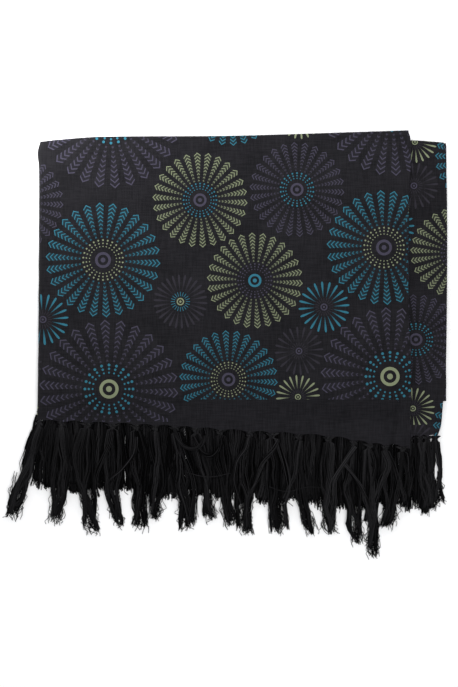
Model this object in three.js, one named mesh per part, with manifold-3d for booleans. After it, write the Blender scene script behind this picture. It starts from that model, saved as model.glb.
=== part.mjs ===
// A long printed cotton scarf with knotted fringe, folded and lying flat.
//
// The scarf is one cut piece, 790 mm wide and 1790 mm long, with fringe knotted
// out of its own warp at both ends. It is pleated six times along its length,
// which gives a pack of six layers with three folds along the top edge, and the
// pack is folded once across its width, with the fold at the left. The upper
// half covers the lower one but for a strip at the right.
//
// Lengths are in millimetres. `across` runs right from the left fold, `down`
// runs from the folded top edge towards the fringe, and z is up from the surface
// that the scarf lies on.

import * as THREE from 'three';
import { mergeVertices } from 'three/addons/utils/BufferGeometryUtils.js';
import Module from 'manifold-3d';

const wasm = await Module();
wasm.setup();

// ---- Driving sizes ---------------------------------------------------------

const WALL = 1.2;             // cloth wall
const GAP = 0.3;              // air between two pieces that lie on each other
const FRONT_HEIGHT = 12;      // both halves of the pack, twelve layers
const SIDE_HEIGHT = 6;        // the lower half alone, six layers
const FRONT_END_HEIGHT = 6;   // top of the front cloth at its fringed end
const SIDE_END_HEIGHT = 4.2;  // top of the side strip at its fringed end
const BAND_START = 253;       // where the front cloth leaves the full stack
const BAND_LENGTH = 38;       // length of its slope down to the end height
const SIDE_SLOPE_START = 266; // the same for the side strip
const SIDE_SLOPE_LENGTH = 24;
const SWELL = 0.3;            // soft rise and fall of the top cloth
const SWELL_MARGIN = 60;      // it dies out this far from the left fold
const TURN_RADIUS = 1.9;      // outer radius of a cloth turned over at a fold
const TURN_LIP = 0.6;         // straight cloth past that turn
const FOLD_CENTRE = 8;        // the left fold bulges from here
const TUCK = 361.3;           // the side strip runs this far under the front
const SLOT = TUCK - GAP;      // where the hidden layers make room for it

// ---- Outlines --------------------------------------------------------------

const FRONT_TOP = [
  { across: 0, down: 7 },
  { across: 20, down: 4.5 },
  { across: 63, down: 1.5 },
  { across: 193, down: 0.5 },
  { across: 343, down: -4 },
  { across: 374, down: -5 },
];
const FRONT_END = [
  { across: -2, down: 286 },
  { across: 50, down: 288 },
  { across: 118, down: 291 },
  { across: 213, down: 297 },
  { across: 292, down: 302 },
  { across: 342, down: 310 },
  { across: 374, down: 312 },
];
const LEFT_FOLD = [
  { down: 0, across: 4.5 },
  { down: 7, across: 2.4 },
  { down: 17, across: 0 },
  { down: 30, across: 1.4 },
  { down: 165, across: 1 },
  { down: 265, across: 0 },
  { down: 286, across: -1.5 },
];
const FRONT_SELVEDGE = [
  { down: -5, across: 371 },
  { down: 3, across: 373.4 },
  { down: 25, across: 374 },
  { down: 60, across: 371.6 },
  { down: 185, across: 371.6 },
  { down: 215, across: 374 },
  { down: 312, across: 373.6 },
];
const LOWER_TOP = [
  { across: 0, down: 8.5 },
  { across: 374, down: 4.5 },
  { across: 411, down: 7 },
];
const SIDE_SELVEDGE = [
  { down: 4, across: 405.5 },
  { down: 12, across: 408.4 },
  { down: 58, across: 410.6 },
  { down: 165, across: 410.6 },
  { down: 250, across: 409 },
  { down: 267, across: 406.8 },
  { down: 291, across: 404.8 },
  { down: 302, across: 401 },
];
const SIDE_END = [
  { across: 350, down: 304 },
  { across: 402, down: 301 },
];
const UNDER_END = [
  { across: 0, down: 284 },
  { across: 410, down: 264 },
];
const LOWER_SELVEDGE = 410.4; // the layers under the side strip
const UPPER_SELVEDGE = 372.6; // the layers under the front panel
const HIDDEN_END = 267;       // the folds at the fringed end of the pack
const CORNER = 1.5;           // the hidden layers' corners are cut off this much

// ---- Hidden layers, one row for each level of their edges --------------------
// `half` says which half's top edge the level follows. `top`, `side` and `end`
// say how far it stays inside that edge, its selvedges and the folds at the end.

const HIDDEN_LEVELS = [
  { z: 1.5, half: 'lower', right: LOWER_SELVEDGE, top: 1.9, side: 1.4, end: 1.6 },
  { z: 1.9, half: 'lower', right: LOWER_SELVEDGE, top: 1.6, side: 0.3, end: 0.3 },
  { z: 2.6, half: 'lower', right: LOWER_SELVEDGE, top: 1.6, side: 0.0, end: 0.0 },
  { z: 2.9, half: 'lower', right: LOWER_SELVEDGE, top: 1.9, side: 1.3, end: 1.5 },
  { z: 3.3, half: 'lower', right: LOWER_SELVEDGE, top: 1.6, side: 0.4, end: 0.4 },
  { z: 4.1, half: 'lower', right: LOWER_SELVEDGE, top: 1.6, side: 0.2, end: 0.2 },
  { z: 4.3, half: 'lower', right: LOWER_SELVEDGE, top: 1.9, side: 1.3, end: 1.5 },
  { z: 4.5, half: 'lower', right: SLOT, top: 2.0, side: 0.0, end: 1.2 },
  { z: 4.8, half: 'lower', right: SLOT, top: 0.4, side: 0.1, end: 0.2 },
  { z: 6.0, half: 'lower', right: SLOT, top: 0.3, side: 0.0, end: 0.4 },
  { z: 6.3, half: 'lower', right: SLOT, top: 1.5, side: 0.1, end: 1.6 },
  { z: 6.6, half: 'upper', right: UPPER_SELVEDGE, top: 1.3, side: 1.6, end: 0.8 },
  { z: 7.0, half: 'upper', right: UPPER_SELVEDGE, top: 0.3, side: 0.5, end: 0.0 },
  { z: 7.6, half: 'upper', right: UPPER_SELVEDGE, top: 0.2, side: 0.4, end: 0.3 },
  { z: 7.9, half: 'upper', right: UPPER_SELVEDGE, top: 1.4, side: 1.7, end: 2.4 },
  { z: 8.3, half: 'upper', right: UPPER_SELVEDGE, top: 0.4, side: 0.7, end: 4.0 },
  { z: 8.9, half: 'upper', right: UPPER_SELVEDGE, top: 0.4, side: 0.5, end: 7.0 },
  { z: 9.2, half: 'upper', right: UPPER_SELVEDGE, top: 1.6, side: 1.7, end: 10.0 },
  { z: 9.6, half: 'upper', right: UPPER_SELVEDGE, top: 2.2, side: 0.9, end: 13.0 },
  { z: 10.2, half: 'upper', right: UPPER_SELVEDGE, top: 2.4, side: 1.2, end: 19.0 },
];

// ---- Fringe, one row for each tassel ----------------------------------------
// `root` and `tip` are across, `reach` is the tip's distance down, `spread` is
// the tassel's width at the tip, and `bow` pushes its middle sideways.

const FRONT_TASSELS = [
  { root: 2, tip: -28, reach: 386, spread: 15, bow: -2, locks: 5 },
  { root: 24, tip: 16.5, reach: 391, spread: 16, bow: 3, locks: 5 },
  { root: 50, tip: 56, reach: 401, spread: 15, bow: -5, locks: 5 },
  { root: 75, tip: 82, reach: 395, spread: 8, bow: -3, locks: 3 },
  { root: 99, tip: 103, reach: 398, spread: 16, bow: 2, locks: 5 },
  { root: 118, tip: 118, reach: 388, spread: 8, bow: 1, locks: 3 },
  { root: 138, tip: 151.5, reach: 397, spread: 20, bow: 3, locks: 5 },
  { root: 159, tip: 173, reach: 389, spread: 7, bow: 2, locks: 3 },
  { root: 183, tip: 194.5, reach: 395, spread: 8, bow: -2, locks: 3 },
  { root: 213, tip: 210, reach: 402, spread: 16, bow: -3, locks: 5 },
  { root: 235, tip: 240.5, reach: 400, spread: 15, bow: 2, locks: 5 },
  { root: 262, tip: 277, reach: 401, spread: 6, bow: -6, locks: 3 },
  { root: 292, tip: 295, reach: 401, spread: 15, bow: -3, locks: 5 },
  { root: 317, tip: 321, reach: 411, spread: 10, bow: -2, locks: 3 },
  { root: 333, tip: 335.5, reach: 424, spread: 10, bow: 3, locks: 3 },
  { root: 349, tip: 351, reach: 395, spread: 15, bow: 4, locks: 5 },
  { root: 366, tip: 367, reach: 373.5, spread: 7, bow: 1, locks: 3 },
];
const SIDE_TASSELS = [
  { root: 374, tip: 375.5, reach: 362, spread: 6, bow: 0, locks: 4 },
  { root: 384, tip: 388.5, reach: 381, spread: 6, bow: -1, locks: 4 },
  { root: 392.5, tip: 396.5, reach: 376, spread: 6, bow: 0.5, locks: 4 },
  { root: 399, tip: 404, reach: 369.5, spread: 5, bow: 1.5, locks: 4 },
];
const BACK_TASSELS = 15;      // spaced evenly along the underside's end
const BACK_FIRST = 14;
const BACK_PITCH = 24.2;
const BACK_LOCKS = 4;
const BACK_SPREAD = 19;
const BACK_REACH = 356;       // the first one, and the growth of the others
const BACK_REACH_SLOPE = 0.062;
const ROOT_WIDTH = 6.4;       // a tassel just below its knot
const LOCK_FILL = 0.82;       // share of a tassel's width that its locks fill
const TIP_SHARE = 0.7;        // a lock's height at its tip
const KNOT_DROP = 4.6;        // from the cloth's edge to the knot's middle
const KNOT_STEP = 2.4;        // half of the knot's length
const KNOT_RADIUS = 3.4;
const KNOT_SIDES = 6;
const HEADER_DEPTH = 2.8;     // the strip of warp that carries the knots
const HEADER_HEIGHT = 1.2;
const HEADER_STEP = 18;
const OUTER_LOCK_SHORT = 1.1; // each lock outwards ends this much sooner
const FLOOR_CLEAR = 0.4;      // tips stay this far above the surface
const FALL_LENGTH = 20;       // the front row comes down past the back row's tips

// Heights of each row of fringe: its header, its knots, and its locks where they
// lie over what is below them. The front row lies over the back row.
const FRINGES = {
  front: { headerZ: 4.8, knotZ: 5.5, knotRise: 2.4, overZ: 4.1, lockHeight: 2.1, lockSteps: 5 },
  side: { headerZ: 3.0, knotZ: 2.9, knotRise: 1.5, overZ: 1.7, lockHeight: 1.8, lockSteps: 4 },
  back: { headerZ: 0.2, knotZ: 1.5, knotRise: 1.2, overZ: 1.4, lockHeight: 1.8, lockSteps: 3 },
};

// ---- Small mathematics -------------------------------------------------------

const lerp = THREE.MathUtils.lerp;

function eased(t) {
  return THREE.MathUtils.smoothstep(t, 0, 1);
}

// Reads a table as a smooth curve: `value` at the place where `key` is `at`.
function read(rows, key, value, at) {
  const last = rows.length - 2;
  let i = rows.findIndex((row, k) => k === last || at < rows[k + 1][key]);
  i = Math.min(Math.max(i, 0), last);
  const span = rows[i + 1][key] - rows[i][key];
  const t = THREE.MathUtils.clamp((at - rows[i][key]) / span, 0, 1);
  const slope = (k) => {
    const before = rows[Math.max(k - 1, 0)];
    const after = rows[Math.min(k + 1, rows.length - 1)];
    return (after[value] - before[value]) / (after[key] - before[key]);
  };
  const a = rows[i][value];
  const b = rows[i + 1][value];
  const ta = slope(i) * span;
  const tb = slope(i + 1) * span;
  return a + t * (ta + t * (3 * (b - a) - 2 * ta - tb + t * (2 * (a - b) + ta + tb)));
}

const frontTop = (across) => read(FRONT_TOP, 'across', 'down', across);
const frontEnd = (across) => read(FRONT_END, 'across', 'down', across);
const lowerTop = (across) => read(LOWER_TOP, 'across', 'down', across);
const sideEnd = (across) => read(SIDE_END, 'across', 'down', across);
const underEnd = (across) => read(UNDER_END, 'across', 'down', across);
const leftFold = (down) => read(LEFT_FOLD, 'down', 'across', down);
const frontSelvedge = (down) => read(FRONT_SELVEDGE, 'down', 'across', down);
const sideSelvedge = (down) => read(SIDE_SELVEDGE, 'down', 'across', down);

// ---- Height of each cloth ----------------------------------------------------

function frontHeight(across, down) {
  const slope = eased((down - BAND_START) / BAND_LENGTH);
  const wave = Math.sin(across / 47 + down / 90) * Math.sin(down / 61 + 0.6);
  const swell = SWELL * wave * eased(across / SWELL_MARGIN) * (1 - slope);
  return lerp(FRONT_HEIGHT, FRONT_END_HEIGHT, slope) + swell;
}

function sideHeight(down) {
  return lerp(SIDE_HEIGHT, SIDE_END_HEIGHT, eased((down - SIDE_SLOPE_START) / SIDE_SLOPE_LENGTH));
}

// The left fold is half an ellipse, as high as the stack.
const foldRise = (down) => frontHeight(0, down) / 2;
const foldReach = (down) => FOLD_CENTRE - leftFold(down);

// ---- Closed meshes -----------------------------------------------------------

function signedVolume(points, faces) {
  let volume = 0;
  for (const [a, b, c] of faces) {
    const cross = new THREE.Vector3().crossVectors(points[b], points[c]);
    volume += points[a].dot(cross) / 6;
  }
  return volume;
}

function closedGeometry(points, faces) {
  const outward = signedVolume(points, faces) > 0;
  const index = faces.flatMap(([a, b, c]) => (outward ? [a, b, c] : [a, c, b]));
  const geometry = new THREE.BufferGeometry();
  geometry.setAttribute('position', new THREE.Float32BufferAttribute(points.flatMap((p) => p.toArray()), 3));
  geometry.setIndex(index);
  return geometry;
}

// A solid skinned over rings of equal count, from one end to the other, with a
// point in the middle of each end.
function ringSolid(rings) {
  const count = rings[0].length;
  const points = rings.flat();
  const faces = [];
  for (let k = 0; k + 1 < rings.length; k += 1) {
    for (let i = 0; i < count; i += 1) {
      const j = (i + 1) % count;
      const [a, b, c, d] = [k * count + i, k * count + j, (k + 1) * count + j, (k + 1) * count + i];
      faces.push([a, b, c], [a, c, d]);
    }
  }
  for (const [ring, flip] of [[0, true], [rings.length - 1, false]]) {
    const middle = rings[ring].reduce((sum, p) => sum.add(p), new THREE.Vector3()).divideScalar(count);
    const m = points.push(middle) - 1;
    for (let i = 0; i < count; i += 1) {
      const a = ring * count + i;
      const b = ring * count + ((i + 1) % count);
      faces.push(flip ? [m, b, a] : [m, a, b]);
    }
  }
  return closedGeometry(points, faces);
}

// A cloth wall between two grids of points, its outer and its inner face.
function wallSolid(columns, rows, pointAt) {
  const points = [];
  for (const layer of [0, 1]) {
    for (const row of rows) {
      for (const column of columns) points.push(pointAt(column, row, layer));
    }
  }
  const size = columns.length * rows.length;
  const at = (i, j, layer) => layer * size + j * columns.length + i;
  const faces = [];
  const quad = (a, b, c, d) => faces.push([a, b, c], [a, c, d]);
  for (let j = 0; j + 1 < rows.length; j += 1) {
    for (let i = 0; i + 1 < columns.length; i += 1) {
      quad(at(i, j, 0), at(i + 1, j, 0), at(i + 1, j + 1, 0), at(i, j + 1, 0));
      quad(at(i, j, 1), at(i, j + 1, 1), at(i + 1, j + 1, 1), at(i + 1, j, 1));
    }
  }
  const right = columns.length - 1;
  const top = rows.length - 1;
  for (let i = 0; i < right; i += 1) {
    quad(at(i, 0, 1), at(i + 1, 0, 1), at(i + 1, 0, 0), at(i, 0, 0));
    quad(at(i, top, 0), at(i + 1, top, 0), at(i + 1, top, 1), at(i, top, 1));
  }
  for (let j = 0; j < top; j += 1) {
    quad(at(0, j, 0), at(0, j + 1, 0), at(0, j + 1, 1), at(0, j, 1));
    quad(at(right, j, 1), at(right, j + 1, 1), at(right, j + 1, 0), at(right, j, 0));
  }
  return closedGeometry(points, faces);
}

function toManifold(geometry) {
  const merged = mergeVertices(geometry, 1e-4);
  return new wasm.Manifold(new wasm.Mesh({
    numProp: 3,
    vertProperties: new Float32Array(merged.attributes.position.array),
    triVerts: new Uint32Array(merged.index.array),
  }));
}

function fuse(geometries) {
  const solid = geometries.map(toManifold).reduce((sum, next) => sum.add(next));
  const mesh = solid.getMesh();
  const geometry = new THREE.BufferGeometry();
  geometry.setAttribute('position', new THREE.Float32BufferAttribute(mesh.vertProperties, 3));
  geometry.setIndex([...mesh.triVerts]);
  return geometry;
}

// ---- Cloth panels --------------------------------------------------------------

// The rows of a panel run from its fringed end to its top edge, and then over
// the fold there: `along` is 0 at the end and 1 at the fold, `turn` is the angle
// turned over, and `lip` is the straight cloth past the turn.
function panelRows(flatRows, turnSteps) {
  const rows = flatRows.map((along) => ({ along, turn: 0, lip: 0 }));
  for (let k = 1; k <= turnSteps; k += 1) {
    rows.push({ along: 1, turn: (Math.PI / 2) * (k / turnSteps), lip: 0 });
  }
  rows.push({ along: 1, turn: Math.PI / 2, lip: TURN_LIP });
  return rows;
}

const turnDepth = (row, layer) => TURN_RADIUS - (TURN_RADIUS - layer * WALL) * Math.cos(row.turn) + row.lip;
const turnDown = (row, layer) => -(TURN_RADIUS - layer * WALL) * Math.sin(row.turn);

function steps(count, from = 0, to = 1) {
  return Array.from({ length: count + 1 }, (_, k) => lerp(from, to, k / count));
}

// Puts a panel's point at its place between two outlines that each depend on
// the other coordinate.
function placed(column, row, top, end, left, right) {
  let down = lerp(end(0), top(0) + TURN_RADIUS, row.along);
  let across = 0;
  for (let pass = 0; pass < 4; pass += 1) {
    across = lerp(right(down), left(down), column.share);
    down = lerp(end(across), top(across) + TURN_RADIUS, row.along);
  }
  return { across, down };
}

function frontPanel() {
  const columns = steps(18).map((share) => ({ share, bend: 0 }));
  for (const bend of steps(8, 0, Math.PI).slice(1)) columns.push({ share: 1, bend });
  const rows = panelRows([...steps(9, 0, 0.2), ...steps(8, 0.2, 0.93).slice(1), ...steps(3, 0.93, 1).slice(1)], 3);
  return wallSolid(columns, rows, (column, row, layer) => {
    const { across, down } = placed(column, row, frontTop, frontEnd, () => FOLD_CENTRE, frontSelvedge);
    const depth = turnDepth(row, layer);
    const y = -(down + turnDown(row, layer));
    if (column.bend === 0) return new THREE.Vector3(across, y, frontHeight(across, down) - depth);
    const x = across - (foldReach(down) - depth) * Math.sin(column.bend);
    return new THREE.Vector3(x, y, foldRise(down) + (foldRise(down) - depth) * Math.cos(column.bend));
  });
}

function sidePanel() {
  const columns = steps(5).map((share) => ({ share }));
  const rows = panelRows([...steps(6, 0, 0.16), ...steps(10, 0.16, 1).slice(1)], 3);
  return wallSolid(columns, rows, (column, row, layer) => {
    const { across, down } = placed(column, row, lowerTop, sideEnd, () => TUCK, sideSelvedge);
    return new THREE.Vector3(across, -(down + turnDown(row, layer)), sideHeight(down) - turnDepth(row, layer));
  });
}

function underPanel() {
  const columns = steps(14).map((share) => ({ share }));
  const rows = panelRows(steps(10), 3);
  const right = (down) => sideSelvedge(down) - 0.6;
  return wallSolid(columns, rows, (column, row, layer) => {
    const { across, down } = placed(column, row, lowerTop, underEnd, () => FOLD_CENTRE + GAP, right);
    return new THREE.Vector3(across, -(down + turnDown(row, layer)), turnDepth(row, layer));
  });
}

// ---- Hidden layers ---------------------------------------------------------------

// One level's outline, round from the lower left corner. Its left side follows
// the inside of the left fold.
function hiddenRing(level) {
  const top = level.half === 'upper' ? frontTop : lowerTop;
  const right = level.right - level.side;
  const bottom = HIDDEN_END - level.end;
  const rise = FRONT_HEIGHT / 2 - WALL;
  const lift = THREE.MathUtils.clamp((level.z - FRONT_HEIGHT / 2) / rise, -1, 1);
  const leftAt = (down) => FOLD_CENTRE + 4 * GAP - (foldReach(down) - WALL) * Math.sqrt(1 - lift * lift);
  const ring = [];
  const add = (across, down) => ring.push(new THREE.Vector3(across, -down, level.z));
  for (const t of steps(16).slice(0, -1)) add(lerp(leftAt(bottom) + CORNER, right, t), bottom);
  for (const t of steps(10).slice(0, -1)) add(right, lerp(bottom, top(right) + level.top, t));
  for (const t of steps(16).slice(0, -1)) {
    const across = lerp(right, leftAt(frontTop(0)) + 2 * CORNER, t);
    add(across, top(across) + level.top);
  }
  for (const t of steps(10).slice(0, -1)) {
    const down = lerp(top(CORNER) + level.top + CORNER, bottom - CORNER, t);
    add(leftAt(down), down);
  }
  return ring;
}

const hiddenLayers = () => ringSolid(HIDDEN_LEVELS.map(hiddenRing));

// ---- Fringe ------------------------------------------------------------------------

const backReach = (across) => BACK_REACH + BACK_REACH_SLOPE * across;

// A knot: an egg with its long axis down the cloth.
function knotSolid(across, down, make) {
  const rings = [0.45, 1, 0.75].map((size, k) => {
    const y = -(down + (k - 1) * KNOT_STEP);
    return Array.from({ length: KNOT_SIDES }, (_, i) => {
      const angle = (i / KNOT_SIDES) * 2 * Math.PI + 0.2;
      const x = across + KNOT_RADIUS * size * Math.cos(angle);
      return new THREE.Vector3(x, y, make.knotZ + make.knotRise * size * Math.sin(angle));
    });
  });
  return ringSolid(rings);
}

// The middle line of a lock from its knot (t = 0) to its tip (t = 1).
function lockPoint(tassel, offset, start, make, t) {
  const root = new THREE.Vector2(tassel.root + (offset * ROOT_WIDTH) / tassel.locks, start);
  const tip = new THREE.Vector2(tassel.tip + (offset * tassel.spread) / tassel.locks, tassel.reach);
  tip.y -= Math.abs(offset) * OUTER_LOCK_SHORT;
  const middle = root.clone().add(tip).multiplyScalar(0.5);
  middle.x += tassel.bow * 2;
  const across = lerp(lerp(root.x, middle.x, t), lerp(middle.x, tip.x, t), t);
  const down = lerp(lerp(root.y, middle.y, t), lerp(middle.y, tip.y, t), t);
  const low = FLOOR_CLEAR + (make.lockHeight * TIP_SHARE) / 2;
  const over = lerp(make.knotZ, make.overZ, eased(t * 5));
  const fall = eased((down - backReach(across) - 3) / FALL_LENGTH);
  return { across, down, z: lerp(over, low, make === FRINGES.front ? fall : eased(t)) };
}

function lockSolid(tassel, offset, start, make) {
  const rings = steps(make.lockSteps).map((t) => {
    const here = lockPoint(tassel, offset, start, make, t);
    const ahead = lockPoint(tassel, offset, start, make, t + 0.01);
    const lean = Math.atan2(ahead.across - here.across, ahead.down - here.down);
    const width = (lerp(ROOT_WIDTH, tassel.spread, t) / tassel.locks) * LOCK_FILL;
    const height = make.lockHeight * lerp(1, TIP_SHARE, t);
    const corner = (side, up) => new THREE.Vector3(
      here.across + side * (width / 2) * Math.cos(lean),
      -here.down + side * (width / 2) * Math.sin(lean),
      here.z + up * (height / 2),
    );
    return [corner(-1, -1), corner(1, -1), corner(1, 1), corner(-1, 1)];
  });
  return ringSolid(rings);
}

// The strip of warp between the cloth's edge and the knots.
function headerSolid(edge, from, to, make) {
  const count = Math.round((to - from) / HEADER_STEP);
  const rings = steps(count, from, to).map((across) => {
    const near = edge(across) + GAP;
    const far = near + HEADER_DEPTH;
    const low = make.headerZ;
    const high = low + HEADER_HEIGHT;
    const corners = [[near, low], [far, low], [far, high], [near, high]];
    return corners.map(([down, z]) => new THREE.Vector3(across, -down, z));
  });
  return ringSolid(rings);
}

function fringe(tassels, edge, make) {
  const first = tassels[0].root;
  const last = tassels[tassels.length - 1].root;
  const pieces = [headerSolid(edge, first - 1.5, last + 1.5, make)];
  for (const tassel of tassels) {
    const knotDown = edge(tassel.root) + KNOT_DROP;
    pieces.push(knotSolid(tassel.root, knotDown, make));
    for (let k = 0; k < tassel.locks; k += 1) {
      pieces.push(lockSolid(tassel, k - (tassel.locks - 1) / 2, knotDown + KNOT_STEP - 0.5, make));
    }
  }
  return fuse(pieces);
}

function backTassels() {
  return Array.from({ length: BACK_TASSELS }, (_, k) => {
    const root = BACK_FIRST + k * BACK_PITCH;
    const sway = 4 * Math.sin(k * 2.1 + 0.7);
    const reach = backReach(root) + 3 * Math.sin(k * 1.7);
    return { root, tip: root + sway, reach, spread: BACK_SPREAD, bow: sway / 2, locks: BACK_LOCKS };
  });
}

// ---- Assembly ------------------------------------------------------------------------

const COTTON = { color: 0x2a292e, roughness: 0.92, metalness: 0 };
const COTTON_EDGE = { color: 0x232226, roughness: 0.95, metalness: 0 };
const YARN = { color: 0x161618, roughness: 0.85, metalness: 0 };

const group = new THREE.Group();

function addPiece(name, geometry, look) {
  geometry.computeVertexNormals();
  const mesh = new THREE.Mesh(geometry, new THREE.MeshStandardMaterial(look));
  mesh.name = name;
  group.add(mesh);
}

addPiece('front_panel', frontPanel(), COTTON);
addPiece('side_panel', sidePanel(), COTTON);
addPiece('under_panel', underPanel(), COTTON);
addPiece('hidden_layers', hiddenLayers(), COTTON_EDGE);
addPiece('front_fringe', fringe(FRONT_TASSELS, frontEnd, FRINGES.front), YARN);
addPiece('side_fringe', fringe(SIDE_TASSELS, sideEnd, FRINGES.side), YARN);
addPiece('back_fringe', fringe(backTassels(), underEnd, FRINGES.back), YARN);

// The origin is on the surface, under the middle of the whole part.
const box = new THREE.Box3().setFromObject(group);
const centre = box.getCenter(new THREE.Vector3());
group.position.set(-centre.x, -centre.y, -box.min.z);

export default group;
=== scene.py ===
"""A long printed cotton scarf with knotted fringe, folded and lying flat.

Lengths are in millimetres until `spot` places them in the frame: `across` runs
right from the left fold, `down` runs from the folded top edge towards the
fringe, and z is up from the surface that the scarf lies on.
"""

import math
from collections import namedtuple
from functools import partial, partialmethod

import bpy
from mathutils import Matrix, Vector, noise


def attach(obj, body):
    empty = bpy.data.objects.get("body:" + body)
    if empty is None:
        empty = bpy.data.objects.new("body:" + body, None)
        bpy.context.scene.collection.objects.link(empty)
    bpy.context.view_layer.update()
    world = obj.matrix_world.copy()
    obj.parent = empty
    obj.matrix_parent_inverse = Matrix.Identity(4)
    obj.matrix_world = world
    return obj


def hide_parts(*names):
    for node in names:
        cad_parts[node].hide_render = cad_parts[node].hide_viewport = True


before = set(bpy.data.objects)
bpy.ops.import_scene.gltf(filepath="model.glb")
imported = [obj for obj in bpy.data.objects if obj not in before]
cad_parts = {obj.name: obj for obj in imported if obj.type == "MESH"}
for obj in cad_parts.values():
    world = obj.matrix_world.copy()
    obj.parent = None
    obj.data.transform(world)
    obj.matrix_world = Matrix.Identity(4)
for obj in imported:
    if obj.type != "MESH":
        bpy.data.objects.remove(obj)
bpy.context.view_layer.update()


def table(kind, *rows):
    """Rows of numbers under the kind's column names."""
    return [kind(*row) for row in rows]


# ---- Driving sizes

MM = 0.001
LEFT = -187.862        # x of across = 0 in the frame
TOP = 209.598          # y of down = 0 in the frame

CLOTH = 0.7            # cloth wall
GAP = 0.3              # air between two pieces that lie on each other
FRONT_HEIGHT = 12.0    # both halves of the pack, twelve layers
FRONT_END_HEIGHT = 6.0
BAND_START = 253.0     # where the front cloth leaves the full stack
BAND_LENGTH = 38.0
SIDE_HEIGHT = 6.0      # the lower half alone, six layers
SIDE_END_HEIGHT = 4.2
SIDE_SLOPE_START = 266.0
SIDE_SLOPE_LENGTH = 24.0
SWELL = 0.3
SWELL_MARGIN = 60.0
TURN_RADIUS = 1.9      # outer radius of a cloth turned over at a fold
TURN_LIP = 0.6
FOLD_CENTRE = 8.0      # the left fold bulges from here
TUCK = 361.3           # the side strip runs this far under the front
LOWER_SELVEDGE = 410.4
UPPER_SELVEDGE = 372.6
HIDDEN_END = 267.0

# ---- Outlines: a place along an edge, and where the edge is there

FRONT_TOP = ((0, 7), (20, 4.5), (63, 1.5), (193, 0.5), (343, -4), (374, -5))
FRONT_END = ((-2, 286), (50, 288), (118, 291), (213, 297), (292, 302), (342, 310), (374, 312))
LEFT_FOLD = ((0, 4.5), (7, 2.4), (17, 0), (30, 1.4), (165, 1), (265, 0), (286, -1.5))
FRONT_SELVEDGE = (
    (-5, 371), (3, 373.4), (25, 374), (60, 371.6), (185, 371.6), (215, 374), (312, 373.6),
)
LOWER_TOP = ((0, 8.5), (374, 4.5), (411, 7))
SIDE_SELVEDGE = (
    (4, 405.5), (12, 408.4), (58, 410.6), (165, 410.6), (250, 409), (267, 406.8),
    (291, 404.8), (302, 401),
)
SIDE_END = ((350, 304), (402, 301))
UNDER_END = ((0, 284), (410, 264))

# ---- Creases: a line on the cloth, how far its sides reach, and its rise

Crease = namedtuple("Crease", "across down to_across to_down reach rise")

FRONT_CREASES = table(
    Crease,
    (362.0, 267, 356.0, 311, 2.0, -2.2),    # beside the thick right margin
    (357.5, 40, 359.3, 262, 3.0, -0.3),
    (367.5, 12, 367.5, 306, 4.5, 0.4),
    (36, 26, 150, 14, 11, 0.4),
    (205, 38, 338, 16, 9, -0.35),
    (4, 96, 190, 92, 6, -0.25),
    (190, 94, 356, 100, 7, 0.25),
    (14, 208, 122, 231, 9, -0.3),
    (150, 222, 262, 204, 8, 0.3),
    (288, 186, 344, 246, 7, -0.3),
    (96, 277, 214, 286, 5, 0.4),
    (232, 274, 340, 292, 6, -0.35),
)
SIDE_CREASES = table(
    Crease,
    (377, 10, 377.5, 290, 2.2, -0.35),
    (399, 30, 400.5, 240, 5, 0.3),
    (380, 120, 406, 128, 6, -0.25),
    (384, 252, 405, 243, 5, 0.3),
)
UNDER_CREASES = table(
    Crease,
    (40, 40, 190, 22, 11, 0.3),
    (230, 60, 380, 84, 9, 0.3),
    (30, 180, 160, 214, 8, 0.3),
    (250, 200, 390, 170, 8, 0.3),
)

# ---- Fringe: one row for each tassel
# `root` and `tip` are across, `reach` is the tip's distance down, `spread` is the
# tassel's width at its tip, and `bow` pushes its middle sideways.

Tassel = namedtuple("Tassel", "root tip reach spread bow yarns")

FRONT_TASSELS = table(
    Tassel,
    (2, -28, 386, 15, -2, 95),
    (24, 16.5, 391, 16, 3, 105),
    (50, 56, 401, 15, -5, 105),
    (75, 82, 395, 11, -3, 85),
    (99, 103, 398, 16, 2, 105),
    (118, 118, 388, 11, 1, 85),
    (138, 151.5, 397, 20, 3, 115),
    (159, 173, 389, 11, 2, 85),
    (183, 194.5, 395, 12, -2, 85),
    (213, 210, 402, 16, -3, 105),
    (235, 240.5, 400, 15, 2, 100),
    (262, 277, 401, 10, -6, 85),
    (292, 295, 401, 15, -3, 100),
    (317, 321, 411, 13, -2, 85),
    (333, 335.5, 424, 13, 3, 85),
    (349, 351, 395, 15, 4, 95),
    (366, 367, 373.5, 11, 1, 80),
)
SIDE_TASSELS = table(
    Tassel,
    (374, 375.5, 362, 12, 0, 90),
    (384, 388.5, 381, 12, 3, 100),
    (391.5, 396.5, 376, 12, 0.5, 100),
    (399, 402.5, 369.5, 8, -1, 90),
)
BACK_TASSELS = 16
BACK_FIRST = 14.0
BACK_PITCH = 24.2
BACK_REACH = 356.0
BACK_REACH_SLOPE = 0.062
BACK_SPREAD = 29.0
BACK_COUNT = 105
LOWER_FIRST = Tassel(12, 0, 354, 26, -2, 110)    # beside the left fold
MIDDLE_RISE = 7.0      # the row between the two is half a pitch along, and higher,
MIDDLE_RIGHT = 362.0   # and it ends where the strip's own tassels begin

# Strands that left their tassel: points as (across, down, z), and a yarn count.
Loose = namedtuple("Loose", "yarns width points")

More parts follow.
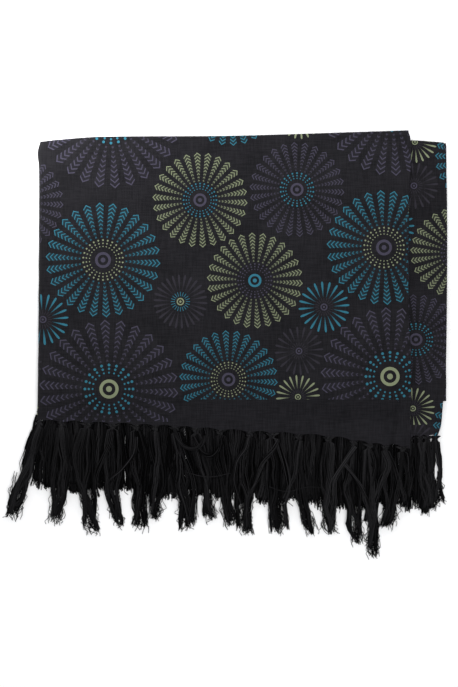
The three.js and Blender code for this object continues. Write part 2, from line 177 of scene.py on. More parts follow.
LOOSE_STRANDS = table(
    Loose,
    (22, 1.9, ((-6, 322, 6), (-8, 340, 5), (-17, 352, 4), (-26, 363, 3), (-25, 371, 2),
               (-18, 368, 3), (-12, 356, 4), (-10, 344, 5))),
    (22, 2.2, ((138, 294, 8.6), (141, 303, 9.2), (148, 311, 9.4), (157, 313, 9.2),
              (164, 308, 9), (167, 299, 8.6))),
    (22, 2.2, ((158, 301, 8.8), (163, 312, 9.6), (169, 319, 9.8), (177, 319, 9.6),
              (183, 311, 9.2), (185, 299, 8.6))),
    (16, 1.8, ((99, 302, 7), (97, 318, 7.4), (86, 332, 7), (74, 343, 6), (66, 350, 5))),
    (26, 2.4, ((75, 297, 7), (73, 309, 7.4), (65, 326, 7), (58, 348, 5.4), (61, 366, 3))),
    (26, 2.4, ((213, 303, 7), (210, 314, 7.4), (201, 328, 7), (199, 350, 5.4), (207, 374, 3))),
    (26, 2.4, ((240, 304, 7), (236, 314, 7.4), (224, 329, 7), (217, 351, 5.4), (208, 370, 3.2))),
    (26, 2.4, ((264, 306, 7), (261, 320, 7.4), (258, 338, 6.6), (252, 352, 5), (245, 366, 3.6))),
    (30, 2.7, ((318, 311, 7), (308, 326, 7.8), (297, 345, 6.6), (297, 368, 4.4), (293, 394, 2.6))),
    (24, 2.3, ((308, 330, 8), (318, 344, 7.8), (326, 358, 6), (332, 376, 4), (334, 396, 2.8))),
    (26, 2.4, ((335, 317, 7), (339, 330, 7.6), (336, 350, 6.4), (333, 370, 4), (330, 392, 2.8))),
    (30, 2.7, ((348, 315, 7), (353, 331, 7.6), (346, 348, 6.6), (339, 366, 4.8), (335, 384, 3.4))),
    (26, 2.4, ((364, 316, 6.6), (363, 340, 6), (358, 364, 4), (352, 386, 2.8))),
    (2, 0.7, ((20, 345, 6), (44, 349, 6.4), (70, 346, 6.4), (92, 351, 6))),
    (2, 0.7, ((150, 338, 6), (172, 343, 6.6), (196, 339, 6.4))),
    (2, 0.8, ((232, 352, 6), (250, 357, 6), (272, 352, 5.6), (290, 355, 5))),
    (3, 0.9, ((330, 322, 7), (340, 338, 7), (345, 356, 5), (337, 372, 3))),
)

# `knot`, `over` and `end_height` are heights: of a row's knots, of its yarns over what
# is below them, and of the cloth's end. `thick` is a tassel's thickness, `fan` is how
# far its warp spreads above the knot, `belly` swells its middle, and `tip` scales
# its spread.
Row = namedtuple("Row", "knot knot_size over thick end_height fan root_width belly tip steps")
FRONT_ROW = Row(5.8, 1.0, 4.6, 3.8, FRONT_END_HEIGHT, 7.0, 12.0, 0.7, 0.8, 13)
SIDE_ROW = Row(3.2, 0.75, 2.4, 2.4, SIDE_END_HEIGHT, 5.5, 9.0, 0.2, 1.0, 13)
MIDDLE_ROW = Row(3.4, 0.6, 2.6, 2.0, 3.4, 12.0, 25.0, 0.0, 1.0, 9)
BACK_ROW = Row(1.9, 0.55, 1.4, 1.6, 0.8, 12.0, 26.0, 0.0, 1.0, 9)

KNOT_DROP = 3.7        # from the cloth's edge to the knot's middle
KNOT_POINT = 2         # its place among a tassel line's points
KNOT_RADIUS = 3.7
KNOT_SHADE = 0.75
LOCK_SHARE = 0.4       # a lock's radius, as a share of its tassel's half width

# Sizes and painted light levels of the yarns in front, the loose ones, and those of the two rows below.
YARN_SIZES = {
    "Yarn Radius": (0.47 * MM, 0.47 * MM, 0.64 * MM, 0.85 * MM),
    "Lock Radius": (3.0 * MM, 3.0 * MM, 3.1 * MM, 5.2 * MM),
    "Lock Yarns": (25.0, 25.0, 15.0, 15.0),
    "Lock Rise": (0.8, 0.8, 0.4, 0.3),
    "Lock Wander": (13.0 * MM, 2.0 * MM, 10.0 * MM, 3.0 * MM),
    "Yarn Wander": (1.4 * MM, 1.4 * MM, 0.8 * MM, 0.8 * MM),
    "Shortest": (0.92, 0.97, 0.92, 0.92),
    # Painted light level: the back row's yarns get painted shade, as if in the shadow of the rows over
    # them, and the loose strands get a painted highlight.
    "Lightest": (1.0, 1.5, 0.95, 0.4),
}
FRONT_YARNS, LOOSE_YARNS, LOWER_YARNS, BACK_YARNS = range(4)
FRIZZ_SIZES = {"Yarn Radius": 0.32 * MM, "Curl": 13.0 * MM, "Points": 14, "Seed": 3}
FRIZZ = 38             # fine curled ends at a tassel's tip
LOWER_FRIZZ = 10
FALL_LENGTH = 20.0     # the front row comes down past the back row's tips
SCALLOP_LOW = 1.8      # the cloth's end at a knot, and between two knots
SCALLOP_HIGH = -1.5
PUCKER = 0.5           # ripples where the warp is gathered into the knots

# ---- Print: one row for each motif of the repeat
# Inks are 0 violet, 1 teal, 2 lime and 3 faded violet, for the rays, the rings of
# dots inside them and the eye. `petals` is 1 for plain petals instead of chevrons,
# and `drift` is how much further than REPEAT_DOWN the motif moves on.

Motif = namedtuple("Motif", "across down drift reach rays dots petals ray_ink dot_ink eye_ink")

MOTIFS = table(
    Motif,
    (72, 254, 0, 69.5, 26, 20, 0, 0, 1, 2),
    (66, 125, 0, 57.5, 26, 26, 0, 1, 2, 0),
    (163, 65, 0, 47.6, 26, 24, 0, 2, 1, 0),
    (260, 54.5, 0, 47.5, 26, 22, 0, 0, 1, 0),
    (217.8, 145.5, 0, 48, 26, 24, 0, 2, 0, 1),
    (191.5, 244.5, 13, 49.3, 26, 26, 0, 1, 2, 0),
    (143.4, 166.6, 0, 27, 26, 20, 1, 3, 1, 2),
    (287, 172, 0, 25.5, 20, 20, 1, 1, 3, 0),
    (262, 216, 0, 24.4, 20, 20, 1, 3, 3, 0),
    (261, 262, 10, 22, 20, 20, 1, 2, 3, 2),
)
REPEAT_ACROSS = (281.0, -12.5)     # from a motif to its next copies
REPEAT_DOWN = (-2.0, 270.0)
STRIP_TURN = (639.5, 268.6)       # the strip shows the cloth turned half round
STRIP_EASE = 0.955
PRINT_END = (287.0, 264.5)         # the print ends lower at the left, and higher
PRINT_STEP = (134.0, 160.0)        # from between these two places on


def lerp(a, b, t):
    return a + (b - a) * t


def clamp(t):
    return min(max(t, 0.0), 1.0)


def eased(t):
    t = clamp(t)
    return t * t * (3 - 2 * t)


def steps(count, low=0.0, high=1.0):
    return [lerp(low, high, k / count) for k in range(count + 1)]


def curved(a, b, leave, arrive, t):
    """From a to b, with a slope at each end."""
    return a + t * (leave + t * (3 * (b - a) - 2 * leave - arrive + t * (2 * (a - b) + leave + arrive)))


def read(rows, at):
    """Reads an outline as a smooth curve."""
    last = len(rows) - 2
    i = 0
    while i < last and at >= rows[i + 1][0]:
        i += 1
    span = rows[i + 1][0] - rows[i][0]
    t = clamp((at - rows[i][0]) / span)

    def slope(k):
        before, after = rows[max(k - 1, 0)], rows[min(k + 1, len(rows) - 1)]
        return (after[1] - before[1]) / (after[0] - before[0])

    return curved(rows[i][1], rows[i + 1][1], slope(i) * span, slope(i + 1) * span, t)


def spot(across, down, z):
    return Vector(((across + LEFT) * MM, (TOP - down) * MM, z * MM))


# ---- Objects, camera and light

VIEW_HEIGHT = 687      # of the picture, a millimetre to a pixel
VIEW_CENTRE = (192.0, 208.5)
CAMERA_HEIGHT = 2000.0
SENSOR = 36.0

# In metres and watts.
Softbox = namedtuple("Softbox", "name place size power target")

SOFTBOXES = table(
    Softbox,
    ("top softbox", (0.06, 0.42, 0.24), (0.5, 0.1), 1.0, (0.04, 0.15, 0)),
    ("corner softbox", (-0.22, 0.31, 0.09), (0.12, 0.06), 0.75, (-0.13, 0.16, 0)),
    ("overhead", (0.25, -0.25, 2.2), (1.5, 1.5), 30, (0, 0, 0)),
)
WORLD_COLOUR = (0.97, 0.98, 1.0, 1)
WORLD_STRENGTH = 0.48
FLOOR_COLOUR = (0.98, 0.98, 0.98, 1)
FLOOR_HALF = 3.0


def add_object(name, data):
    made = bpy.data.objects.new(name, data)
    bpy.context.scene.collection.objects.link(made)
    return made


def new_mesh(name, points, faces, edges=()):
    mesh = bpy.data.meshes.new(name)
    mesh.from_pydata(points, edges, faces)
    return mesh


def set_values(mesh, name, values, kind="FLOAT"):
    mesh.attributes.new(name, kind, "POINT").data.foreach_set("value", values)


def add_camera():
    camera = bpy.data.cameras.new("camera")
    camera.sensor_fit = "VERTICAL"
    camera.sensor_height = SENSOR
    camera.lens = SENSOR * (CAMERA_HEIGHT - FRONT_HEIGHT) / VIEW_HEIGHT
    camera.clip_end = 20
    holder = add_object("camera", camera)
    holder.location = spot(*VIEW_CENTRE, CAMERA_HEIGHT)
    bpy.context.scene.camera = holder


def add_light(softbox):
    lamp = bpy.data.lights.new(softbox.name, "AREA")
    lamp.shape = "RECTANGLE"
    lamp.size, lamp.size_y = softbox.size
    lamp.energy = softbox.power
    holder = add_object(softbox.name, lamp)
    holder.location = softbox.place
    way = Vector(softbox.target) - Vector(softbox.place)
    holder.rotation_euler = way.to_track_quat("-Z", "Y").to_euler()
    holder.visible_camera = False


def add_world():
    world = bpy.data.worlds.new("studio")
    world.use_nodes = True
    background = world.node_tree.nodes["Background"]
    fill(background.inputs, {"Color": WORLD_COLOUR, "Strength": WORLD_STRENGTH})
    bpy.context.scene.world = world


# ---- Node trees

FLOAT, VECTOR, COLOUR = "NodeSocketFloat", "NodeSocketVector", "NodeSocketColor"


class Field:
    """A node's output. Its sums, products and comparisons add math nodes."""

    def __init__(self, socket):
        self.socket = socket
        self.tree = socket.id_data

    def other(self, name):
        """Another output of the same node."""
        return Field(self.socket.node.outputs[name])

    def math(self, operation, value):
        return calc(operation, self, value)

    __add__ = partialmethod(math, "ADD")
    __sub__ = partialmethod(math, "SUBTRACT")
    __mul__ = partialmethod(math, "MULTIPLY")
    __truediv__ = partialmethod(math, "DIVIDE")
    __lt__ = partialmethod(math, "LESS_THAN")
    __gt__ = partialmethod(math, "GREATER_THAN")


def fill(sockets, values):
    """Links the fields to their sockets, and sets the plain values."""
    for key, value in values.items():
        if isinstance(value, Field):
            value.tree.links.new(value.socket, sockets[key])
        else:
            sockets[key].default_value = value


def put(tree, kind, inputs=None, output=0, **settings):
    """Adds a node, and gives one of its outputs."""
    node = tree.nodes.new(kind)
    for key, value in settings.items():
        setattr(node, key, value)
    fill(node.inputs, inputs or {})
    return Field(node.outputs[output])


def tree_of(values):
    return next(value.tree for value in values if isinstance(value, Field))


def kind_of(value):
    if isinstance(value, Field):
        return value.socket.type
    if isinstance(value, tuple):
        return "VECTOR" if len(value) == 3 else "RGBA"
    return "VALUE"


def calc(operation, *values):
    """Math on numbers, or on vectors where the first value is one."""
    tree, inputs = tree_of(values), dict(enumerate(values))
    if kind_of(values[0]) not in ("VECTOR", "RGBA"):
        return put(tree, "ShaderNodeMath", inputs, operation=operation)
    if operation == "MULTIPLY" and kind_of(values[1]) == "VALUE":
        operation, inputs = "SCALE", {0: values[0], "Scale": values[1]}
    output = "Value" if operation in ("DOT_PRODUCT", "LENGTH") else "Vector"
    return put(tree, "ShaderNodeVectorMath", inputs, output, operation=operation)


def texture(vector, scale, detail, output=0, **settings):
    inputs = {"Vector": vector, "Scale": scale, "Detail": detail}
    return put(vector.tree, "ShaderNodeTexNoise", inputs, output, **settings)


def combine(x, y, z=0.0):
    return put(tree_of((x, y, z)), "ShaderNodeCombineXYZ", {0: x, 1: y, 2: z})


def separate(vector):
    x = put(vector.tree, "ShaderNodeSeparateXYZ", {0: vector})
    return x, x.other("Y"), x.other("Z")


def mix(factor, a, b):
    """Mixes two floats, vectors or colours."""
    kinds = {"VALUE": ("FLOAT", 2, 0), "VECTOR": ("VECTOR", 4, 1), "RGBA": ("RGBA", 6, 2)}
    kind, first, output = kinds[kind_of(b)]
    return put(factor.tree, "ShaderNodeMix", {0: factor, first: a, first + 1: b}, output, data_type=kind)


def ramp(value, low, high, out_low=0.0, out_high=1.0):
    """A value eased from one range to another."""
    inputs = {0: value, 1: low, 2: high, 3: out_low, 4: out_high}
    return put(value.tree, "ShaderNodeMapRange", inputs, interpolation_type="SMOOTHSTEP")


def group(name, inputs, outputs, kind="ShaderNodeTree"):
    """A node group: its tree, its inputs as fields and its output sockets."""
    tree = bpy.data.node_groups.new(name, kind)
    for way, sockets in (("INPUT", inputs), ("OUTPUT", outputs)):
        for label, socket_kind in sockets.items():
            tree.interface.new_socket(label, in_out=way, socket_type=socket_kind)
    given = tree.nodes.new("NodeGroupInput").outputs
    return tree, {label: Field(given[label]) for label in inputs}, tree.nodes.new("NodeGroupOutput").inputs


def use(made, inputs):
    """Adds a group node, and gives its outputs by name."""
    first = put(tree_of(inputs.values()), "ShaderNodeGroup", inputs, node_tree=made)
    return {socket.name: Field(socket) for socket in first.socket.node.outputs}


# ---- The print's node groups

# A rosette's proportions, as shares of its reach.
CHEVRON_PITCH = 0.072
CHEVRON_LEAN = 0.9
CHEVRON_GAP = 0.70     # of a pitch
RAY_START = 0.385
RAY_SPREAD = 0.1       # a ray's half width grows outwards by this,
RAY_WAIST = 0.0256     # less this
RAY_TURN = 0.25        # the rays' turn from upright, as a share of their pitch
PETAL_START = 0.36
PETAL_WIDTH = 0.057
DOT_START = 0.2075
DOT_PITCH = 0.055
DOT_RINGS = 3.0
DOT_SIZE = 1.15
DOTS_END = 0.373
DASH_START = 0.2
DASH_WIDTH = 0.011
EYE_DOT = 0.042
EYE_RING = (0.092, 0.138)
EYE_END = 0.17
INNER_FADE = 0.6       # how much ink a ray has at its inner end

THREAD = 0.45
WASH = 0.09            # a little ink between the chevrons
INKS = {
    "Violet": (0.047, 0.043, 0.066, 1),
    "Teal": (0.025, 0.135, 0.190, 1),
    "Lime": (0.186, 0.212, 0.128, 1),
    "Faded": (0.024, 0.022, 0.029, 1),
}
BLACK_CLOTH = (0.0052, 0.0050, 0.0063, 1)
WORN_CLOTH = (0.0138, 0.0132, 0.0157, 1)
DEEP_YARN = (0.0003, 0.0003, 0.0004, 1)
LIT_YARN = (0.0282, 0.0277, 0.0298, 1)


def choice_group():
    """Keeps the nearer of two motifs, the new one seen from its nearest copy on the cloth."""
    carried = {"Local": VECTOR, "Reach": FLOAT, "Inks": VECTOR, "Form": VECTOR, "Nearness": FLOAT}
    own = {"Place": VECTOR, "Centre": VECTOR, "Own Reach": FLOAT, "Own Inks": VECTOR, "Own Form": VECTOR}
    tree, given, out = group("motif choice", {**own, **carried}, carried)
    (ax, ad), (dx, dd) = REPEAT_ACROSS, REPEAT_DOWN
    size = ax * dd - ad * dx
    half = (0.5, 0.5, 0)

    def seen(place, first, second):
        return combine(calc("DOT_PRODUCT", place, first), calc("DOT_PRODUCT", place, second))

    off = given["Place"] - given["Centre"]
    turns = seen(off, (dd / size, -dx / size, 0), (-ad / size, ax / size, 0))
    near = calc("FRACTION", turns + half) - half
    drift = (near - turns) * combine(0.0, separate(given["Centre"])[2])
    mine = {name: given["Own " + name] for name in ("Reach", "Inks", "Form")}
    mine["Local"] = seen(near, (ax, dx, 0), (ad, dd, 0)) + drift
    mine["Nearness"] = calc("LENGTH", mine["Local"]) / given["Own Reach"]
    nearer = mine["Nearness"] < given["Nearness"]
    fill(out, {name: mix(nearer, given[name], mine[name]) for name in carried})
    return tree


def ray_place(angle, share, count, turn):
    """Along and beside the nearest of `count` rays."""
    at = angle * count + turn
    off = (at - calc("ROUND", at)) / count * (2 * math.pi)
    return share * calc("COSINE", off), calc("ABSOLUTE", share * calc("SINE", off))


def rosette_group():
    """One rosette: rays of chevrons or petals, rings of dots or dashes, and an eye."""
    tree, given, out = group(
        "rosette", {"Local": VECTOR, "Reach": FLOAT, "Inks": VECTOR, "Form": VECTOR},
        {"Mask": FLOAT, "Ink": FLOAT, "Wash": FLOAT},
    )
    x, y, _ = separate(given["Local"])
    rays, dots, petals = separate(given["Form"])
    ray_ink, dot_ink, eye_ink = separate(given["Inks"])
    share = calc("LENGTH", given["Local"]) / given["Reach"]
    angle = calc("ARCTAN2", x, y * -1.0) / (2 * math.pi)

    # Rays of chevrons, which shrink to dots inwards.
    along, beside = ray_place(angle, share, rays, RAY_TURN)
    front = beside * CHEVRON_LEAN + along
    envelope = (beside < along * RAY_SPREAD - RAY_WAIST) * (front < 1.0) * (along > RAY_START)
    chevrons = envelope * (calc("FRACT", (front - 1.0) / CHEVRON_PITCH) > CHEVRON_GAP)

    # Petals, round at their outer end.
    t = (along - PETAL_START) / (1 - PETAL_START)
    blunt = calc("SQRT", calc("SUBTRACT", 1.0, calc("POWER", calc("MAXIMUM", t, 0.0), 8.0)))
    petal = (beside < t * blunt * PETAL_WIDTH) * (t < 1.0) * (t > 0.02)
    outer = mix(petals, chevrons, petal)
    fade = ramp(share, PETAL_START, 0.85, INNER_FADE)

    # Three rings of dots, or short dashes inside petals.
    along, beside = ray_place(angle, share, dots, 0.0)
    ring = (along - DOT_START) / DOT_PITCH
    rise = (calc("FRACT", ring) - 0.5) * DOT_PITCH
    gap = calc("SQRT", rise * rise + beside * beside)
    dot = (gap < along * DOT_SIZE / dots) * (ring > 0.0) * (ring < DOT_RINGS)
    dash = (beside < DASH_WIDTH) * (along > DASH_START) * (along < PETAL_START)
    inner = mix(petals, dot, dash)

    eye = calc("MAXIMUM", (share > EYE_RING[0]) * (share < EYE_RING[1]), share < EYE_DOT)
    in_eye, in_dots = share < EYE_END, share < DOTS_END
    fill(out, {
        "Mask": mix(in_eye, mix(in_dots, outer * fade, inner), eye),
        "Ink": mix(in_eye, mix(in_dots, ray_ink, dot_ink), eye_ink),
        "Wash": mix(petals, envelope * fade, 0.0),
    })
    return tree


def print_group():
    """The whole print: its colour and where it lies on the cloth."""
    choice, rosette = choice_group(), rosette_group()
    tree, given, out = group(
        "rosette print", {"Place": VECTOR, **dict.fromkeys(INKS, COLOUR)},
        {"Colour": COLOUR, "Mask": FLOAT, "Wash": FLOAT},
    )
    best = {"Nearness": 100.0, "Reach": 50.0}
    for motif in MOTIFS:
        best = use(choice, {
            "Place": given["Place"],
            "Centre": (motif.across, motif.down, motif.drift),
            "Own Reach": motif.reach,
            "Own Inks": (motif.ray_ink, motif.dot_ink, motif.eye_ink),
            "Own Form": (motif.rays, motif.dots, motif.petals),
            **best,
        })
    drawn = use(rosette, {name: best[name] for name in ("Local", "Reach", "Inks", "Form")})
    first, *others = INKS
    colour = given[first]
    for number, name in enumerate(others):
        colour = mix(drawn["Ink"] > number + 0.5, colour, given[name])
    fill(out, {"Colour": colour, "Mask": drawn["Mask"], "Wash": drawn["Wash"]})
    return tree


def weave_group():
    """A plain weave: threads both ways, uneven, with slubs and soft patches."""
    tree, given, out = group(
        "plain weave", {"Place": VECTOR}, {"Height": FLOAT, "Slubs": FLOAT, "Patches": FLOAT},
    )

    def streaks(place, fine, long, detail):
        """Noise drawn out along the threads, one way and then the other."""
        warp, weft = place * (fine, long, 1.0), place * (long, fine, 1.0)
        return texture(warp, 1.0, detail) + texture(weft, 1.0, detail)

    place = given["Place"]
    fill(out, {
        "Height": streaks(place * (1 / THREAD), 1.0, 0.12, 2.0),
        "Slubs": streaks(place, 0.8, 0.06, 3.0) * 0.5,
        "Patches": texture(place, 0.035, 4.0),
    })
    return tree


# ---- Materials


def new_material(name):
    made = bpy.data.materials.new(name)
    made.use_nodes = True
    return made, made.node_tree, made.node_tree.nodes["Principled BSDF"].inputs


def attribute(tree, name):
    return put(tree, "ShaderNodeAttribute", None, "Fac", attribute_name=name)


def bump(height, strength, distance):
    inputs = {"Height": height, "Strength": strength, "Distance": distance}
    return put(height.tree, "ShaderNodeBump", inputs)


def object_place(tree):
    return put(tree, "ShaderNodeTexCoord", None, "Object") * (1 / MM)


def finish_cotton(shader, place, shown, printing, weave):
    """Cotton with the print where `shown` is 1."""
    drawn = use(printing, {"Place": place, **INKS})
    woven = use(weave, {"Place": place})
    worn = ramp(woven["Slubs"], 0.38, 0.62) * 0.6 + ramp(woven["Patches"], 0.3, 0.7) * 0.4
    cover = ramp(woven["Height"], 0.6, 1.3, 0.8, 1.0)
    tinted = mix(drawn["Wash"] * shown * WASH, mix(worn, BLACK_CLOTH, WORN_CLOTH), drawn["Colour"])
    fill(shader, {
        "Base Color": mix(drawn["Mask"] * shown * cover, tinted, drawn["Colour"]),
        "Roughness": ramp(woven["Patches"], 0.2, 0.8, 0.8, 0.92),
        "Normal": bump(woven["Height"], 0.35, 0.25 * MM),
        "Specular IOR Level": 0.07,
        "Sheen Weight": 0.05,
        "Sheen Roughness": 0.5,
    })


def printed_cotton(printing, weave):
    made, tree, shader = new_material("printed_cotton")
    place = put(tree, "ShaderNodeUVMap", uv_map="Cloth") * (1 / MM)
    finish_cotton(shader, place, attribute(tree, "past_print") < 0.0, printing, weave)
    return made


def layered_cotton(printing, weave):
    """The folded layers' edges, each layer with its own stretch of the print."""
    made, tree, shader = new_material("layered_cotton")
    x, y, z = separate(object_place(tree))
    layer = calc("FLOOR", z)
    finish_cotton(shader, combine(layer * 97.0 + x, layer * 53.0 - y), 1.0, printing, weave)
    return made


def fringe_yarn():
    """Black cotton yarn; each lock and each yarn has its own random tone, scaled by a painted light level
    for each row, and yarns that lie low in a lock or tassel get painted shade.
    """
    made, tree, shader = new_material("fringe_yarn")
    fuzz = texture(object_place(tree), 1.6, 3.0)
    tone = attribute(tree, "lock_shade") * 0.7 + attribute(tree, "shade") * 0.4
    # Painted shade: yarns low in a lock or tassel are darkened, and those on top lightened, by the stored
    # lit value.
    lit = ramp(attribute(tree, "lit"), 0.0, 1.0, 0.08)
    tone = tone * ramp(fuzz, 0.3, 0.7, 0.6, 1.0) * lit
    fill(shader, {
        "Base Color": mix(tone, DEEP_YARN, LIT_YARN),
        "Roughness": ramp(fuzz, 0.3, 0.7, 0.65, 0.85),
        "Normal": bump(fuzz, 0.5, 0.2 * MM),
        "Specular IOR Level": 0.03,
    })
    return made


# ---- Meshes


def make_piece(name, points, faces, finish, cloth=None, past_print=None):
    """A closed mesh with its faces outwards, and its place on the cloth as a UV map."""
    mesh = new_mesh(name, points, faces)
    volume = 0.0
    for face in faces:
        a = points[face[0]]
        for i in range(1, len(face) - 1):
            volume += a.dot(points[face[i]].cross(points[face[i + 1]]))
    if volume < 0:
        mesh.flip_normals()
    if cloth:
        layer = mesh.uv_layers.new(name="Cloth")
        corners = [0] * len(mesh.loops)
        mesh.loops.foreach_get("vertex_index", corners)
        layer.data.foreach_set("uv", [value * MM for corner in corners for value in cloth[corner]])
        set_values(mesh, "past_print", past_print)
    mesh.shade_smooth()
    mesh.set_sharp_from_angle(angle=math.radians(50))
    mesh.materials.append(finish)
    return add_object(name, mesh)


# ---- Cloths

TURN_STEPS = 7
PRINTED_OVER = -50.0   # how far before the print's end a cloth is that is printed all over
PanelRow = namedtuple("PanelRow", "along turn lip")


def placed(share, along, top, end, left, right):
    """A panel's point, between outlines that each depend on the other coordinate."""
    across, down = 0.0, lerp(end(0), top(0) + TURN_RADIUS, along)
    for _ in range(3):
        across = lerp(right(down), left, share)
        down = lerp(end(across), top(across) + TURN_RADIUS, along)
    return across, down


def relief(creases, across, down):
    total = 0.0
    for crease in creases:
        run_across, run_down = crease.to_across - crease.across, crease.to_down - crease.down
        off_across, off_down = across - crease.across, down - crease.down
        length = run_across ** 2 + run_down ** 2
        t = clamp((off_across * run_across + off_down * run_down) / length)
        gap = math.hypot(off_across - t * run_across, off_down - t * run_down) / crease.reach
        if gap < 3:
            total += crease.rise * math.exp(-gap * gap)
    return total


def knot_phase(across, roots):
    """How far a place is from one knot to the next, from 0 to 1."""
    for here, ahead in zip(roots, roots[1:]):
        if here <= across < ahead:
            return (across - here) / (ahead - here)
    return 0.0


def scallop(across, roots):
    """The cloth's end is pulled down at its knots."""
    return lerp(SCALLOP_LOW, SCALLOP_HIGH, math.sin(math.pi * knot_phase(across, roots)) ** 0.7)


def pucker(across, gap, roots):
    """Ripples that die out away from the fringed end."""
    return PUCKER * math.cos(2 * math.pi * knot_phase(across, roots)) * math.exp(-max(gap, 0) / 7)


def front_base(across, down):
    slope = eased((down - BAND_START) / BAND_LENGTH)
    wave = math.sin(across / 47 + down / 90) * math.sin(down / 61 + 0.6)
    swell = SWELL * wave * eased(across / SWELL_MARGIN) * (1 - slope)
    return lerp(FRONT_HEIGHT, FRONT_END_HEIGHT, slope) + swell


def side_base(down):
    slope = eased((down - SIDE_SLOPE_START) / SIDE_SLOPE_LENGTH)
    return lerp(SIDE_HEIGHT, SIDE_END_HEIGHT, slope)


FRONT_ROOTS = [tassel.root for tassel in FRONT_TASSELS]
SIDE_ROOTS = [tassel.root for tassel in SIDE_TASSELS]


def front_end(across):
    return read(FRONT_END, across) + scallop(across, FRONT_ROOTS)


def print_end(across):
    low, high = PRINT_STEP
    return lerp(*PRINT_END, eased((across - low) / (high - low)))


def wall(name, outlines, columns, flat_rows, shape, on_cloth, finish):
    """A cloth wall between outlines, turned over the fold at its top edge.

    `shape` gives a point's across and z, and `on_cloth` its place on the flat cloth
    and how far it is past the print's end.
    """
    rows = [PanelRow(along, 0.0, 0.0) for along in flat_rows]
    rows += [PanelRow(1.0, turn, 0.0) for turn in steps(TURN_STEPS, 0, math.pi / 2)[1:]]
    rows.append(PanelRow(1.0, math.pi / 2, TURN_LIP))
    points, cloth, past = [], [], []
    for radius in (TURN_RADIUS, TURN_RADIUS - CLOTH):
        for row in rows:
            depth = TURN_RADIUS - radius * math.cos(row.turn) + row.lip
            for share, bend in columns:
                across, down = placed(share, row.along, *outlines)
                x, z = shape(across, down, depth, bend)
                points.append(spot(x, down - radius * math.sin(row.turn), z))
                *flat, beyond = on_cloth(across, down - row.turn * TURN_RADIUS - row.lip, bend)
                cloth.append(flat)
                past.append(beyond)

    def at(i, j, layer):
        return (layer * len(rows) + j) * len(columns) + i

    right, top = len(columns) - 1, len(rows) - 1
    faces = []
    for i in range(right):
        for j in range(top):
            faces.append((at(i, j, 0), at(i + 1, j, 0), at(i + 1, j + 1, 0), at(i, j + 1, 0)))
            faces.append((at(i, j, 1), at(i, j + 1, 1), at(i + 1, j + 1, 1), at(i + 1, j, 1)))
    rim = [(i, 0) for i in range(right)] + [(right, j) for j in range(top)]
    rim += [(right - i, top) for i in range(right)] + [(0, top - j) for j in range(top)]
    for here, ahead in zip(rim, rim[1:] + rim[:1]):
        faces.append((at(*here, 1), at(*ahead, 1), at(*ahead, 0), at(*here, 0)))
    return make_piece(name, points, faces, finish, cloth, past)


def level(shares):
    """Columns of the cloth that lies flat, with no bend."""
    return [(share, 0.0) for share in shares]


def front_cloth(finish):
    columns = level(steps(30, 0, 0.1) + steps(108, 0.1, 1)[1:])
    columns += [(1.0, bend) for bend in steps(22, 0, math.pi)[1:]]
    rows = steps(34, 0, 0.13) + steps(90, 0.13, 1)[1:]
    outlines = partial(read, FRONT_TOP), front_end, FOLD_CENTRE, partial(read, FRONT_SELVEDGE)

    def shape(across, down, depth, bend):
        if bend == 0:
            height = front_base(across, down) + relief(FRONT_CREASES, across, down) * eased(across / 30)
            return across, height + pucker(across, front_end(across) - down, FRONT_ROOTS) - depth
        rise, reach = front_base(0, down) / 2, FOLD_CENTRE - read(LEFT_FOLD, down)
        wave = 0.25 * noise.noise(Vector((down / 17, bend * 2, 3))) * math.sin(bend)
        return across - (reach - depth + wave) * math.sin(bend), rise + (rise - depth) * math.cos(bend)

    def on_cloth(across, down, bend):
        flat = across - bend * FRONT_HEIGHT / 2
        return flat, down, down - print_end(flat)

    return wall("front_cloth", outlines, columns, rows, shape, on_cloth, finish)


def side_cloth(finish):
    def end(across):
        return read(SIDE_END, across) + scallop(across, SIDE_ROOTS)

    def shape(across, down, depth, _):
        lift = relief(SIDE_CREASES, across, down) + pucker(across, end(across) - down, SIDE_ROOTS)
        return across, side_base(down) + lift * eased((across - TUCK - 8) / 8) - depth

    def on_cloth(across, down, _):
        return STRIP_TURN[0] - across, STRIP_TURN[1] - down / STRIP_EASE, PRINTED_OVER

    outlines = partial(read, LOWER_TOP), end, TUCK, partial(read, SIDE_SELVEDGE)
    rows = steps(24, 0, 0.1) + steps(110, 0.1, 1)[1:]
    return wall("side_cloth", outlines, level(steps(30)), rows, shape, on_cloth, finish)


def under_cloth(finish):
    def selvedge(down):
        return read(SIDE_SELVEDGE, down) - 0.6

    def shape(across, down, depth, _):
        lift = relief(UNDER_CREASES, across, down) * eased((across - FOLD_CENTRE) / 20)
        return across, depth + lift * eased((read(UNDER_END, across) - down) / 15) * eased(down / 15)

    def on_cloth(across, down, _):
        return 2 * FOLD_CENTRE - math.pi * FRONT_HEIGHT / 2 - across, down, PRINTED_OVER

    outlines = partial(read, LOWER_TOP), partial(read, UNDER_END), FOLD_CENTRE + GAP, selvedge
    return wall("under_cloth", outlines, level(steps(64)), steps(50), shape, on_cloth, finish)


# ---- Folded layers under the cloths

LAYER = 1.0            # one layer of the stack
LEVEL_STEP = 0.125
STACK = (1.0, 11.0)    # its lowest and its highest level
SLOT_LEVELS = (4.85, 6.4)   # the side strip's cloth runs in between here
TURNED_LEVELS = ((0, 2.7), (3.3, 6.2), (9.3, 12))   # the cloths' turned edges hang here,
TURNED_INSET = 1.1     # and the stack stays inside them by this


def grooved(z, period, start, depth):
    """The stack's edge at one level: round layers with grooves between them."""
    q = 2 * (((z - start) / period) % 1) - 1
    return depth * (1 - math.sqrt(max(1 - q * q, 0)))


def uneven(z, place, period, start, amount):
    """Each layer lies a little differently."""
    layer = math.floor((z - start) / period)
    slow = noise.noise(Vector((place / 38, layer * 5.3, 1.7)))
    quick = noise.noise(Vector((place / 9, layer * 3.1, 8)))
    return amount * clamp(0.5 + slow + 0.4 * quick)


